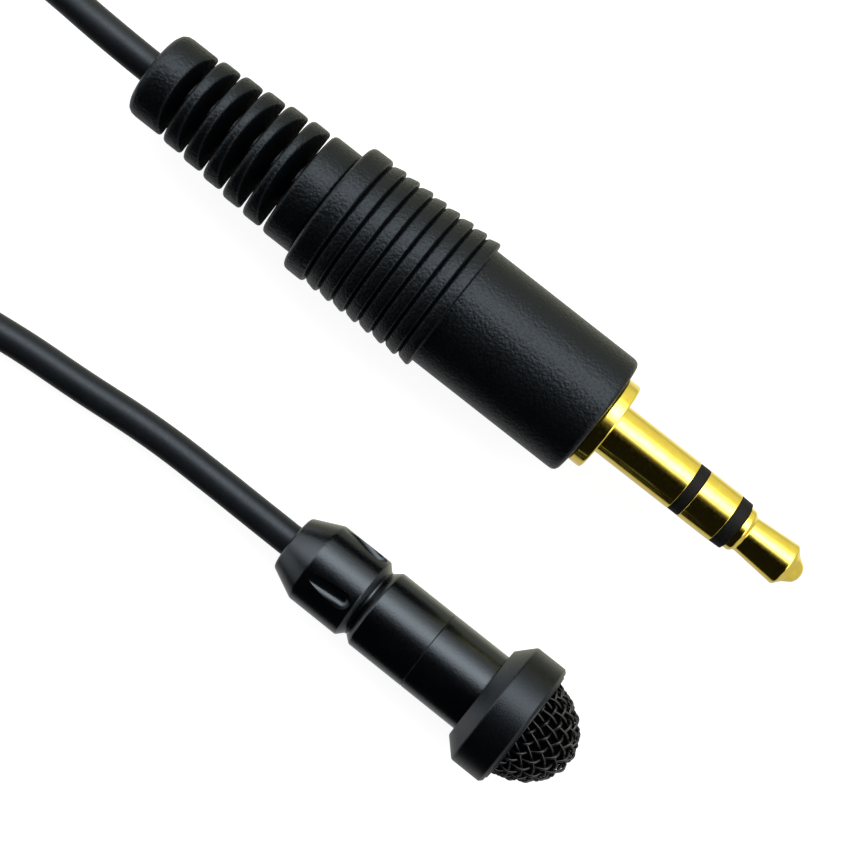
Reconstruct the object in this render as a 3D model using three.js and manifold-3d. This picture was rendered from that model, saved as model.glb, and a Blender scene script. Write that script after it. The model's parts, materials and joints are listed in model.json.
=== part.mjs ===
// A lavalier microphone with its captive cord and 3.5 mm stereo plug.
// Millimetres, +Z up. The microphone lies on its cap and its head, pointing along +X; the
// origin is under its middle. The plug lies beside it and the spare cord is coiled behind.
import * as THREE from "three";
import { mergeVertices } from "three/addons/utils/BufferGeometryUtils.js";
import Module from "manifold-3d";

const wasm = await Module();
wasm.setup();

// ---- Driving dimensions ----
const CORD_RADIUS = 1.07;
const GAP = 0.03; // between pieces that touch
const RUNNING_FIT = 0.05; // radial clearance of the two screw threads
const FINE = 24; // sides of the large round pieces
const COARSE = 16; // sides of the small ones
const PIN_SIDES = 20; // sides of the plug's nested contacts
const THIN = 8; // sides of wires and cord

// The microphone, measured along its axis from the rear face of the cap.
const MIC = { radius: 2.79, seam: 10.83, groove: 6.15, grooveRadius: 2.4, front: 15.3 };
const CAP = { rearRadius: 1.92, cone: 1.97, radius: 2.85, shoulder: 5.62 };
const CAP_BORE = { shelf: 1.2, hole: 1.15, radius: 2.02 };
const FLUTE = { count: 4, firstAngle: 15, cutter: 0.6, rear: [2.2, 3.45], front: [4.85, 2.91] };
const THREAD = { gland: CAP_BORE.radius - RUNNING_FIT, head: 2.55 };
const HEAD = { rear: 15.05, rearRadius: 3.27, ridge: 16.1, radius: 4.37, front: 18.42, edge: 0.2 };
const HEAD_MOUTH = { radius: 2.84, front: 15.35 }; // the head's rear opening, over the sleeve
const DOME = { seat: 17.6, radius: 3.56, height: 4.4, wall: 0.18, flange: 3.92, flangeWidth: 0.25 };
const CAPSULE = { rear: 14.7, front: 16.8, radius: 2.0, wall: 0.1 };

// The plug, measured along its axis from the rear face of the strain relief.
const BOOT = { rear: 0.5, firstGap: 3.32, pitch: 1.656, radii: [2.99, 3.11, 3.23, 3.37, 3.53, 3.64] };
const SLOT = { width: 0.22, rearDraft: 0.24, frontDraft: 0.04, core: 1.6 };
const WEB = { width: 0.77, depth: 0.4, turn: 11 };
const NECK = { front: 14.0, radius: 3.73, spigot: 3.2 };
const GRIP = { rear: 14.05, firstRib: 1.59, ribs: 8, pitch: 1.045, rearRadius: 4.63, frontRadius: 4.76 };
const COVER = { radius: 4.27, front: 35.2, edge: 0.5, bore: 3.25, tailHole: 2.14 };
const FLANGE = { rear: 35.25, front: 36.2, radius: 3.1, tail: 2.1 };
const PIN = { radius: 1.75, ring1: 5.8, contact: 6.54, ring2: 9.05, tip: 9.9, length: 14.88 };

// Where the two halves lie.
const RIDGE_RISE = HEAD.radius - CAP.radius;
const TILT = Math.atan2(RIDGE_RISE, HEAD.ridge - CAP.cone); // both ridges touch the floor
const PLUG_AT = [-36.0, 17.85, GRIP.frontRadius];
const COIL = { x: -62.7, y: 5, radius: 10.8, columns: 4, layers: 4, spacing: 2.18, lift: 0.35 };

// ---- Materials ----
function finish(color, roughness, metalness = 0) {
  return new THREE.MeshStandardMaterial({ color, roughness, metalness });
}
const anodised = finish(0x16181b, 0.38, 0.7);
const brass = finish(0xb08a45, 0.35, 1);
const gold = finish(0xd9a93a, 0.22, 1);
const silver = finish(0xb9bcc0, 0.3, 1);
const steelWire = finish(0x121314, 0.45, 0.6);
const foam = finish(0x0b0b0c, 0.95);
const rubber = finish(0x151617, 0.8);
const moulded = finish(0x17191c, 0.62);
const cordJacket = finish(0x191b1e, 0.5);
const insulator = finish(0x0e0e0f, 0.4);
const nylon = finish(0xe6e2d8, 0.5);
const board = finish(0x1f5a3a, 0.5);
const film = finish(0xc9ccd0, 0.25, 0.9);
const felt = finish(0x2a2a2b, 1);
const redWire = finish(0xa32020, 0.45);
const whiteWire = finish(0xdedbd2, 0.45);
const copper = finish(0xb87448, 0.35, 1);

// ---- Shapes ----
// A solid turned about the X axis. Each point is [place along the axis, radius].
function turned(points, sides = FINE) {
  const outline = points.map(([along, radius]) => new THREE.Vector2(radius, along));
  return new THREE.LatheGeometry(outline, sides).rotateZ(-Math.PI / 2);
}

function ring(start, end, inner, outer, sides = COARSE) {
  const outline = [[start, inner], [start, outer], [end, outer], [end, inner], [start, inner]];
  return turned(outline, sides);
}

function disc(start, end, radius, sides = COARSE) {
  return turned([[start, 0], [start, radius], [end, radius], [end, 0]], sides);
}

// A box given by its two corners.
function block(low, high) {
  const size = high.map((value, i) => value - low[i]);
  const middle = high.map((value, i) => (value + low[i]) / 2);
  return new THREE.BoxGeometry(...size).translate(...middle);
}

// Points of a quarter round from angle start to angle end, in degrees, along and out.
function arc(along, out, radius, start, end, steps = 3) {
  return Array.from({ length: steps + 1 }, (_, i) => {
    const angle = THREE.MathUtils.degToRad(start + ((end - start) * i) / steps);
    return [along + radius * Math.cos(angle), out + radius * Math.sin(angle)];
  });
}

// A round tube along a smooth line through points.
function tube(points, radius, steps, sides = THIN) {
  const path = new THREE.CatmullRomCurve3(points.map((p) => new THREE.Vector3(...p)));
  const section = new THREE.Shape(
    Array.from({ length: sides }, (_, i) => {
      const angle = (2 * Math.PI * i) / sides;
      return new THREE.Vector2(radius * Math.cos(angle), radius * Math.sin(angle));
    }),
  );
  return new THREE.ExtrudeGeometry(section, { steps, extrudePath: path });
}

function toSolid(geometry) {
  const bare = geometry.clone();
  bare.deleteAttribute("normal");
  bare.deleteAttribute("uv");
  const merged = mergeVertices(bare, 1e-4);
  const index = [...merged.index.array];
  const triVerts = [];
  for (let i = 0; i < index.length; i += 3) {
    const [a, b, c] = index.slice(i, i + 3);
    if (a !== b && b !== c && c !== a) triVerts.push(a, b, c);
  }
  return new wasm.Manifold(
    new wasm.Mesh({
      numProp: 3,
      vertProperties: merged.attributes.position.array,
      triVerts: new Uint32Array(triVerts),
    }),
  );
}

function toGeometry(solid) {
  const { numProp, vertProperties, triVerts } = solid.getMesh();
  const positions = [];
  for (let i = 0; i < vertProperties.length; i += numProp) {
    positions.push(...vertProperties.subarray(i, i + 3));
  }
  const geometry = new THREE.BufferGeometry();
  geometry.setAttribute("position", new THREE.Float32BufferAttribute(positions, 3));
  geometry.setIndex([...triVerts]);
  geometry.computeVertexNormals();
  return geometry;
}

function cut(geometry, cutters) {
  return toGeometry(cutters.reduce((solid, cutter) => solid.subtract(toSolid(cutter)), toSolid(geometry)));
}

function joined(...geometries) {
  return toGeometry(geometries.map(toSolid).reduce((all, next) => all.add(next)));
}

function add(group, name, geometry, material) {
  const mesh = new THREE.Mesh(geometry, material);
  mesh.name = name;
  group.add(mesh);
}

// ---- Microphone: cable gland ----
// The grip flutes are cut by a ball-ended cutter that runs deeper towards the front.
function flutes() {
  const [rearAlong, rearOut] = FLUTE.rear;
  const [frontAlong, frontOut] = FLUTE.front;
  const length = Math.hypot(frontAlong - rearAlong, frontOut - rearOut);
  const slope = Math.atan2(rearOut - frontOut, frontAlong - rearAlong);
  return Array.from({ length: FLUTE.count }, (_, i) =>
    new THREE.CapsuleGeometry(FLUTE.cutter, length, 3, 10)
      .rotateZ(Math.PI / 2)
      .rotateY(slope)
      .translate((rearAlong + frontAlong) / 2, 0, (rearOut + frontOut) / 2)
      .rotateX(THREE.MathUtils.degToRad(FLUTE.firstAngle) + (2 * Math.PI * i) / FLUTE.count),
  );
}

function rearCap() {
  const shell = turned([
    [0, CAP_BORE.hole],
    [0, CAP.rearRadius],
    [CAP.cone, CAP.radius],
    [CAP.shoulder, CAP.radius],
    [MIC.groove, MIC.grooveRadius],
    [MIC.groove, CAP_BORE.radius],
    [CAP_BORE.shelf, CAP_BORE.radius],
    [CAP_BORE.shelf, CAP_BORE.hole],
    [0, CAP_BORE.hole],
  ]);
  return cut(shell, flutes());
}

const SPIGOT_END = 3.6; // rear end of the sleeve's threaded spigot, inside the cap
const FERRULE = { flange: 1.85, body: 1.4, front: 6.4, flangeWidth: 0.2 };

function crimpFerrule() {
  const bore = CORD_RADIUS + GAP;
  const flangeRear = SPIGOT_END - GAP - FERRULE.flangeWidth;
  return turned(
    [
      [flangeRear, bore],
      [flangeRear, FERRULE.flange],
      [SPIGOT_END - GAP, FERRULE.flange],
      [SPIGOT_END - GAP, FERRULE.body],
      [FERRULE.front, FERRULE.body],
      [FERRULE.front, bore],
      [flangeRear, bore],
    ],
    COARSE,
  );
}

function addGland(mic) {
  const washer = { rear: CAP_BORE.shelf + GAP, front: CAP_BORE.shelf + 0.35 };
  const bushFront = SPIGOT_END - FERRULE.flangeWidth - 2 * GAP;
  add(mic, "rear_cap", rearCap(), anodised);
  add(mic, "slip_washer", ring(washer.rear, washer.front, CAP_BORE.hole, 1.92), nylon);
  add(mic, "cable_bush", ring(washer.front + GAP, bushFront, CORD_RADIUS + GAP, 1.88), rubber);
  add(mic, "crimp_ferrule", crimpFerrule(), brass);
}

// ---- Microphone: sleeves ----
const SLEEVE = { rearBore: 1.45, step: 7.2, lap: 9.2, lapRadius: 2.32, lapBore: 2.35, frontBore: 1.7 };
const POCKET = { rear: 13.8, radius: 2.15, front: 16.9 }; // where the capsule sits

function rearSleeve() {
  return turned([
    [SPIGOT_END, SLEEVE.rearBore],
    [SPIGOT_END, THREAD.gland],
    [MIC.groove + 0.05, THREAD.gland],
    [MIC.groove + 0.05, MIC.grooveRadius],
    [MIC.groove + 0.53, MIC.radius],
    [MIC.seam - GAP, MIC.radius],
    [MIC.seam - GAP, SLEEVE.lapBore],
    [SLEEVE.step, SLEEVE.lapBore],
    [SLEEVE.step, SLEEVE.rearBore],
    [SPIGOT_END, SLEEVE.rearBore],
  ]);
}

function frontSleeve() {
  return turned([
    [SLEEVE.lap, SLEEVE.frontBore],
    [SLEEVE.lap, SLEEVE.lapRadius],
    [MIC.seam, SLEEVE.lapRadius],
    [MIC.seam, MIC.radius],
    [MIC.front, MIC.radius],
    [MIC.front, THREAD.head],
    [POCKET.front, THREAD.head],
    [POCKET.front, POCKET.radius],
    [POCKET.rear, POCKET.radius],
    [POCKET.rear, SLEEVE.frontBore],
    [SLEEVE.lap, SLEEVE.frontBore],
  ]);
}

function addSleeves(mic) {
  add(mic, "rear_sleeve", rearSleeve(), anodised);
  add(mic, "front_sleeve", frontSleeve(), anodised);
}

// ---- Microphone: electret capsule ----
function capsuleCan() {
  const { rear, front, radius, wall } = CAPSULE;
  const soundHole = 0.5;
  const crimp = 1.55;
  return turned(
    [
      [rear, crimp],
      [rear, radius],
      [front, radius],
      [front, soundHole],
      [front - 2 * wall, soundHole],
      [front - 2 * wall, radius - wall],
      [rear + wall, radius - wall],
      [rear + wall, crimp],
      [rear, crimp],
    ],
    COARSE,
  );
}

// The stack inside the can, from the front to the rear: [name, thickness, inner, outer, finish].
function addCapsule(mic) {
  const inside = CAPSULE.radius - CAPSULE.wall - GAP;
  const stack = [
    ["diaphragm", 0.06, 0, inside, film],
    ["spacer_ring", 0.06, 1.5, inside, nylon],
    ["back_plate", 0.25, 0, inside - 0.1, brass],
    ["back_plate_holder", 0.72, 1.4, inside, nylon],
    ["capsule_board", 0.25, 0, inside, board],
  ];
  let front = CAPSULE.front - 2 * CAPSULE.wall - GAP;
  for (const [name, thickness, inner, outer, material] of stack) {
    const rear = front - thickness;
    const shape = inner ? ring(rear, front, inner, outer) : disc(rear, front, outer);
    add(mic, name, shape, material);
    front = rear - GAP;
  }
  const boardFront = front + GAP + stack.at(-1)[1];
  const chip = block([boardFront + GAP, -0.6, -0.45], [boardFront + 0.45, 0.6, 0.45]);
  add(mic, "capsule_can", capsuleCan(), silver);
  add(mic, "capsule_transistor", chip, insulator);
  add(mic, "capsule_felt", disc(CAPSULE.front + GAP, CAPSULE.front + 0.18, 1.8), felt);
  add(mic, "capsule_gasket", ring(POCKET.rear + GAP, CAPSULE.rear - GAP, 1.5, POCKET.radius - GAP), rubber);
}

// Three conductors run from the stripped end of the cord to the solder pads of the board.
const CORD_END = 5.0; // the jacket is stripped here, inside the ferrule
const WIRES = [
  ["signal_wire", 0, redWire],
  ["bias_wire", 120, whiteWire],
  ["capsule_shield_wire", 240, copper],
];

function addCapsuleWires(mic) {
  const start = CORD_END + 0.1;
  const end = CAPSULE.rear + CAPSULE.wall - 0.05;
  for (const [name, angle, material] of WIRES) {
    const turn = THREE.MathUtils.degToRad(angle);
    const place = (share, out) => [
      start + (end - start) * share,
      out * Math.cos(turn + share),
      out * Math.sin(turn + share),
    ];
    const points = [place(0, 0.5), place(0.3, 0.75), place(0.65, 0.95), place(1, 0.85)];
    add(mic, name, tube(points, 0.2, 9, 6), material);
  }
}

// ---- Microphone: grille head ----
const SHELF = { rear: 17.17, front: 17.5, bore: 2.1 }; // clamps the seal and holds the foam

function headRing() {
  return turned([
    [HEAD.rear, HEAD_MOUTH.radius],
    [HEAD.rear, HEAD.rearRadius],
    [HEAD.ridge, HEAD.radius],
    [HEAD.front - HEAD.edge, HEAD.radius],
    [HEAD.front, HEAD.radius - HEAD.edge],
    [HEAD.front, DOME.flange + 0.06],
    [SHELF.front, DOME.flange + 0.06],
    [SHELF.front, SHELF.bore],
    [SHELF.rear, SHELF.bore],
    [SHELF.rear, THREAD.head + RUNNING_FIT],
    [HEAD_MOUTH.front, THREAD.head + RUNNING_FIT],
    [HEAD_MOUTH.front, HEAD_MOUTH.radius],
    [HEAD.rear, HEAD_MOUTH.radius],
  ]);
}

const DOME_STEPS = 7;

// The front of the dome's outline, from its rim to its tip, shrunk inwards by a margin.
function domeOutline(margin, rimAngle = 90) {
  const height = DOME.height - margin;
  const radius = DOME.radius - margin;
  const points = arc(0, 0, 1, rimAngle, 0, DOME_STEPS);
  points[DOME_STEPS][1] = 0;
  return points.map(([along, out]) => [DOME.seat + height * along, radius * out]);
}

// The grille: a dome of wire cloth on a flat flange, open at the rear.
function meshDome() {
  const flangeFront = DOME.seat + DOME.flangeWidth;
  return turned([
    ...domeOutline(DOME.wall).reverse(),
    [DOME.seat, DOME.flange],
    [flangeFront, DOME.flange],
    [flangeFront, DOME.radius],
    ...domeOutline(0, 85),
  ]);
}

function foamInsert() {
  const margin = DOME.wall + 0.15;
  const rear = SHELF.front + GAP;
  return turned([[rear, 0], [rear, DOME.radius - margin], ...domeOutline(margin)], COARSE);
}

function addHead(mic) {
  const seal = ring(POCKET.front + GAP, SHELF.rear - GAP, POCKET.radius, THREAD.head);
  const lipRear = DOME.seat + DOME.flangeWidth + GAP;
  const lip = ring(lipRear, HEAD.front + 0.1, DOME.radius + GAP, DOME.flange, FINE);
  add(mic, "head_ring", headRing(), anodised);
  add(mic, "head_seal", seal, rubber);
  add(mic, "mesh_dome", meshDome(), steelWire);
  add(mic, "mesh_retaining_ring", lip, anodised);
  add(mic, "windscreen_foam", foamInsert(), foam);
}

// ---- Plug: strain relief ----
// What one slot takes out: a gap that widens upwards and downwards from the middle, all round
// the core, but for two opposite webs. The webs of each slot are a quarter turn from the last.
function slotCutter(index, radius) {
  const reach = 5;
  const middle = BOOT.firstGap + index * BOOT.pitch;
  const rear = middle - SLOT.width / 2;
  const front = middle + SLOT.width / 2;
  const side = new THREE.Shape([
    new THREE.Vector2(rear, 0),
    new THREE.Vector2(rear - SLOT.rearDraft * reach, -reach),
    new THREE.Vector2(front + SLOT.frontDraft * reach, -reach),
    new THREE.Vector2(front, 0),
    new THREE.Vector2(front + SLOT.frontDraft * reach, reach),
    new THREE.Vector2(rear - SLOT.rearDraft * reach, reach),
  ]);
  const gap = new THREE.ExtrudeGeometry(side, { depth: 2 * reach, bevelEnabled: false });
  gap.translate(0, 0, -reach).rotateX(Math.PI / 2);
  const webReach = radius - WEB.depth;
  const webs = block([middle - 2, -WEB.width / 2, -webReach], [middle + 2, WEB.width / 2, webReach]);
  webs.rotateX(THREE.MathUtils.degToRad(-WEB.turn - (index % 2) * 90));
  return cut(gap, [disc(middle - 2.5, middle + 2.5, SLOT.core), webs]);
}

function boot() {
  const bore = CORD_RADIUS + 0.1;
  const rounding = 0.7;
  const [rearRadius] = BOOT.radii;
  const outline = [[BOOT.rear, bore], [BOOT.rear, rearRadius - rounding]];
  outline.push(...arc(BOOT.rear + rounding, rearRadius - rounding, rounding, 180, 90).slice(1));
  BOOT.radii.forEach((radius, i) => {
    const middle = BOOT.firstGap + i * BOOT.pitch;
    outline.push([middle, radius], [middle, BOOT.radii[i + 1] ?? NECK.radius]);
  });
  outline.push([NECK.front, NECK.radius], [NECK.front, NECK.spigot], [NECK.front + 3, NECK.spigot]);
  outline.push([NECK.front + 3, bore], [BOOT.rear, bore]);
  return cut(turned(outline), BOOT.radii.map((radius, i) => slotCutter(i, radius)));
}

// ---- Plug: cover with saw-toothed grip ribs ----
function plugCover() {
  const groove = 0.26;
  const ridge = 0.1;
  const ribsFront = GRIP.rear + GRIP.firstRib + GRIP.ribs * GRIP.pitch;
  const radiusAt = (along) =>
    THREE.MathUtils.mapLinear(along, GRIP.rear, ribsFront, GRIP.rearRadius, GRIP.frontRadius);
  const outline = [[GRIP.rear, COVER.bore], [GRIP.rear, GRIP.rearRadius - 0.3]];
  outline.push([GRIP.rear + 0.3, GRIP.rearRadius]);
  let rear = GRIP.rear;
  for (let i = 0; i <= GRIP.ribs; i += 1) {
    const front = rear + (i ? GRIP.pitch : GRIP.firstRib);
    if (i) outline.push([rear + 0.18, radiusAt(rear) - groove]);
    outline.push([front - ridge, radiusAt(front)], [front, radiusAt(front) - groove]);
    rear = front;
  }
  const wallRear = COVER.front - 1.25;
  outline.push([ribsFront, COVER.radius]);
  outline.push(...arc(COVER.front - COVER.edge, COVER.radius - COVER.edge, COVER.edge, 90, 0));
  outline.push([COVER.front, COVER.tailHole], [wallRear, COVER.tailHole], [wallRear, COVER.bore]);
  outline.push([GRIP.rear, COVER.bore]);
  return turned(outline);
}

// ---- Plug: coaxial contacts ----
// Radii of the nested tubes, from the middle out, with GAP between neighbours.
const ROD = 0.46;
const TIP_TUBE = [ROD + GAP, 0.78];
const RING_TUBE = [0.78 + GAP, 1.11];
const RING_WRAP = [1.11 + GAP, 1.31];
const SLEEVE_BORE = 1.31 + GAP;
const TAIL = { sleeve: 29.0, ringWrap: 28.1, ring: 27.7, tipWrap: 27.3, tip: 26.5 }; // rear ends

const pinAt = (distance) => FLANGE.front + distance;

function jackSleeve() {
  const edge = 0.1;
  return turned(
    [
      [TAIL.sleeve, SLEEVE_BORE],
      [TAIL.sleeve, FLANGE.tail],
      [FLANGE.rear, FLANGE.tail],
      [FLANGE.rear, FLANGE.radius - edge],
      [FLANGE.rear + edge, FLANGE.radius],
      [FLANGE.front - edge, FLANGE.radius],
      [FLANGE.front, FLANGE.radius - edge],
      [FLANGE.front, PIN.radius],
      [pinAt(PIN.ring1), PIN.radius],
      [pinAt(PIN.ring1), SLEEVE_BORE],
      [TAIL.sleeve, SLEEVE_BORE],
    ],
    PIN_SIDES,
  );
}

// A contact or insulator: a thin tube that ends in a band as wide as the pin.
function banded(rear, [inner, outer], bandRear, bandFront) {
  return turned(
    [
      [rear, inner],
      [rear, outer],
      [bandRear, outer],
      [bandRear, PIN.radius],
      [bandFront, PIN.radius],
      [bandFront, inner],
      [rear, inner],
    ],
    PIN_SIDES,
  );
}

function jackTip() {
  return turned(
    [
      [TAIL.tip, 0],
      [TAIL.tip, ROD],
      [pinAt(PIN.tip) + GAP, ROD],
      [pinAt(PIN.tip) + GAP, 1.53],
      [pinAt(10.15), 1.53],
      [pinAt(10.65), 1.21],
      [pinAt(13.73), 1.48],
      [pinAt(14.1), 1.0],
      [pinAt(14.7), 0.6],
      [pinAt(PIN.length), 0.3],
      [pinAt(PIN.length), 0],
    ],
    PIN_SIDES,
  );
}

// ---- Plug: solder terminals and wires ----
const RING_TERMINAL = { rear: 27.75, radius: 2.0 };
const TIP_TERMINAL = { rear: 26.9, radius: 1.4 };
const TERMINAL_THICKNESS = 0.25;

// A washer-shaped terminal with a solder tab that points back from its rim.
function washerTerminal({ rear, radius }, inner, tabAngle) {
  const tab = block([rear - 1.4, -0.45, radius - 0.25], [rear + 0.1, 0.45, radius - 0.02]);
  tab.rotateX(THREE.MathUtils.degToRad(tabAngle));
  return joined(ring(rear, rear + TERMINAL_THICKNESS, inner, radius), tab);
}

// The ground terminal runs back along the mould to a claw that grips the cord.
function groundTerminal() {
  const claw = ring(19.8, 21.8, CORD_RADIUS + 0.05, 1.35);
  const riser = block([20.3, -0.6, 1.2], [21.3, 0.6, 2.38]);
  const strip = block([20.3, -0.6, 2.15], [31.0, 0.6, 2.38]);
  return joined(claw, riser, strip);
}

const PLUG_CORD_END = 22.6; // the jacket is stripped here, inside the cover

function addPlugWires(plug) {
  const wires = [
    ["tip_wire", [24.2, 0, -1.0], [25.45, 0, -1.26], redWire],
    ["ring_wire", [24.4, -1.3, 0], [26.3, -1.87, 0], whiteWire],
    ["ground_wire", [24.0, 0, 1.2], [25.2, 0, 1.95], copper],
  ];
  for (const [name, middle, end, material] of wires) {
    const start = [PLUG_CORD_END + 0.1, middle[1] * 0.4, middle[2] * 0.4];
    add(plug, name, tube([start, middle, end], 0.18, 5, 6), material);
  }
}

function addPlug(plug) {
  const { sleeve, ringWrap, ring: ringTail, tipWrap } = TAIL;
  const band1 = [pinAt(PIN.ring1) + GAP, pinAt(PIN.contact)];
  const contact = [pinAt(PIN.contact) + GAP, pinAt(PIN.ring2)];
  const band2 = [pinAt(PIN.ring2) + GAP, pinAt(PIN.tip)];
  const mould = ring(NECK.front + 3 + GAP, COVER.front - 1.25 - GAP, 2.55, COVER.bore - 2 * GAP, FINE);
  add(plug, "strain_relief_boot", boot(), moulded);
  add(plug, "plug_cover", plugCover(), moulded);
  add(plug, "inner_mould", mould, nylon);
  add(plug, "jack_sleeve", jackSleeve(), gold);
  add(plug, "ring_insulator", banded(ringWrap, RING_WRAP, ...band1), insulator);
  add(plug, "jack_ring", banded(ringTail, RING_TUBE, ...contact), gold);
  add(plug, "tip_insulator", banded(tipWrap, TIP_TUBE, ...band2), insulator);
  add(plug, "jack_tip", jackTip(), gold);
  add(plug, "rear_washer", ring(sleeve - 0.4, sleeve - GAP, RING_WRAP[1] + GAP, 2.1), insulator);
  add(plug, "ring_terminal", washerTerminal(RING_TERMINAL, RING_TUBE[1] + GAP, 90), brass);
  add(plug, "tip_washer", ring(27.35, 27.65, TIP_TUBE[1] + GAP, 1.65), insulator);
  add(plug, "tip_terminal", washerTerminal(TIP_TERMINAL, ROD + GAP, 180), brass);
  add(plug, "ground_terminal", groundTerminal(), brass);
  addPlugWires(plug);
}

// ---- Cord ----
const COIL_HEIGHT = COIL.lift + CORD_RADIUS; // of the bottom turns' centres
const HALF_BUNDLE = ((COIL.columns - 1) / 2) * COIL.spacing;
const OUTER_TURN = COIL.radius + HALF_BUNDLE;

// The last half turn comes down outside the bundle, on the side away from the microphone.
// Its first third, from the top turn out to the side, is in the bundle's own outline.
function comingDown() {
  const steps = 12;
  const top = COIL_HEIGHT + (COIL.layers - 1) * COIL.spacing;
  const radius = OUTER_TURN + COIL.spacing + 0.35;
  return Array.from({ length: steps - 3 }, (_, i) => {
    const share = (i + 4) / steps;
    const angle = -Math.PI / 2 - Math.PI * share;
    const height = top + (CORD_RADIUS + GAP - top) * THREE.MathUtils.smoothstep(share, 0.1, 1);
    return [COIL.x + radius * Math.cos(angle), COIL.y + radius * Math.sin(angle), height];
  });
}

// From the rear of the microphone, along the floor, to where the coil begins.
const MIC_ROUTE = [
  [-17.0, 0.0, 1.9],
  [-22.0, -0.1, 1.38],
  [-27.5, -0.57, 1.12],
  [-33.3, -1.04, 1.09],
  [-39.0, -1.95, 1.1],
  [-45.0, -4.1, 1.18],
  [-51.6, -7.3, 1.35],
];
// From the coil to the rear of the plug, up off the floor into the strain relief.
const PLUG_ROUTE = [
  [-56.5, 21.2, 1.1],
  [-50.5, 19.45, 1.5],
  [-46.0, 18.42, 2.65],
  [-42.1, 18.1, 3.9],
  [-39.0, 17.93, 4.6],
];

function addCord(root, mic) {
  const onAxis = (along) => mic.localToWorld(new THREE.Vector3(along, 0, 0)).toArray();
  const micRun = [onAxis(CORD_END), onAxis(2), onAxis(-1), onAxis(-4), ...MIC_ROUTE];
  const [plugX, plugY, plugZ] = PLUG_AT;
  const inPlug = [BOOT.rear, 8, 16, PLUG_CORD_END].map((along) => [plugX + along, plugY, plugZ]);
  const plugRun = [...comingDown(), ...PLUG_ROUTE, ...inPlug];
  const half = HALF_BUNDLE + CORD_RADIUS;
  const bundle = new THREE.LatheGeometry(
    [
      new THREE.Vector2(COIL.radius - half, COIL.lift),
      new THREE.Vector2(COIL.radius + half, COIL.lift),
      new THREE.Vector2(COIL.radius + half, COIL.lift + 2 * half),
      new THREE.Vector2(COIL.radius - half, COIL.lift + 2 * half),
      new THREE.Vector2(COIL.radius - half, COIL.lift),
    ],
    FINE,
  );
  add(root, "cord_mic_run", tube(micRun, CORD_RADIUS, 26), cordJacket);
  add(root, "cord_coil", bundle.rotateX(Math.PI / 2).translate(COIL.x, COIL.y, 0), cordJacket);
  add(root, "cord_plug_run", tube(plugRun, CORD_RADIUS, 40), cordJacket);
  add(root, "coil_tie", coilTie(half), rubber);
}

// A strap round the bundle, on the side towards the microphone.
function coilTie(half) {
  const width = 4;
  const thickness = 0.32;
  const inner = COIL.radius - half - 0.4;
  const outer = COIL.radius + half + GAP;
  const top = COIL.lift + 2 * half + GAP;
  const corner = (low, high, base, crest) => [
    new THREE.Vector2(low, base),
    new THREE.Vector2(high, base),
    new THREE.Vector2(high, crest),
    new THREE.Vector2(low, crest),
  ];
  const strap = new THREE.Shape(corner(inner - thickness, outer + thickness, 0, top + thickness));
  strap.holes.push(new THREE.Path(corner(inner, outer, thickness, top)));
  return new THREE.ExtrudeGeometry(strap, { depth: width, bevelEnabled: false })
    .rotateX(Math.PI / 2)
    .translate(COIL.x, COIL.y + width / 2, 0);
}

// ---- Assembly ----
const part = new THREE.Group();

const mic = new THREE.Group();
addGland(mic);
addSleeves(mic);
addCapsule(mic);
addCapsuleWires(mic);
addHead(mic);
const rearmost = -CAP.rearRadius * Math.sin(TILT);
const domeReach = Math.hypot(DOME.height * Math.cos(TILT), DOME.radius * Math.sin(TILT));
const foremost = DOME.seat * Math.cos(TILT) + domeReach;
const restHeight = CAP.radius * Math.cos(TILT) - CAP.cone * Math.sin(TILT);
mic.rotation.y = -TILT;
mic.position.set(-(rearmost + foremost) / 2, 0, restHeight);
part.add(mic);
part.updateMatrixWorld(true);

const plug = new THREE.Group();
addPlug(plug);
plug.position.set(...PLUG_AT);
part.add(plug);

addCord(part, mic);

export default part;
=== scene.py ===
"""The lavalier microphone's looks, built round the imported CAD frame. Metres, +Z up."""

import json
import math
from bisect import bisect

import bmesh
import bpy
from mathutils import Matrix, Vector


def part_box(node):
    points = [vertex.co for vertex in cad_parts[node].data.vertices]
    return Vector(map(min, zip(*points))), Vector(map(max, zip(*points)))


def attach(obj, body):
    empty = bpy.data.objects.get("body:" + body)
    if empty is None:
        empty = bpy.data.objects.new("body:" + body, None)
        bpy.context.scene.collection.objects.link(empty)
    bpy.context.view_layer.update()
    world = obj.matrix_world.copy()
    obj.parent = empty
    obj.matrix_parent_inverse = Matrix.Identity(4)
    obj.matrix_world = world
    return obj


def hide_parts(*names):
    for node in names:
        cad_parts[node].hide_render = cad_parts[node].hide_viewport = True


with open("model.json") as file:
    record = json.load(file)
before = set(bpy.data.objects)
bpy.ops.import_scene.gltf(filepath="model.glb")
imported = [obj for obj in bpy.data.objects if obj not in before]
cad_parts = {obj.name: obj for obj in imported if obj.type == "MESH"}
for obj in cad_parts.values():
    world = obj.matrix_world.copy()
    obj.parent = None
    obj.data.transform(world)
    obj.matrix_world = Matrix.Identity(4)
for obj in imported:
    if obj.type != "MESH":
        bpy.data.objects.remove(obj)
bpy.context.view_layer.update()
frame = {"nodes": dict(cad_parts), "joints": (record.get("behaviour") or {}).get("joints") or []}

# ---------------------------------------------------------------- driving sizes
MM = 0.001  # shapes below are written in millimetres along their own axis
CORD_RADIUS = 1.07
CORD_BORE = CORD_RADIUS + 0.1

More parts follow.
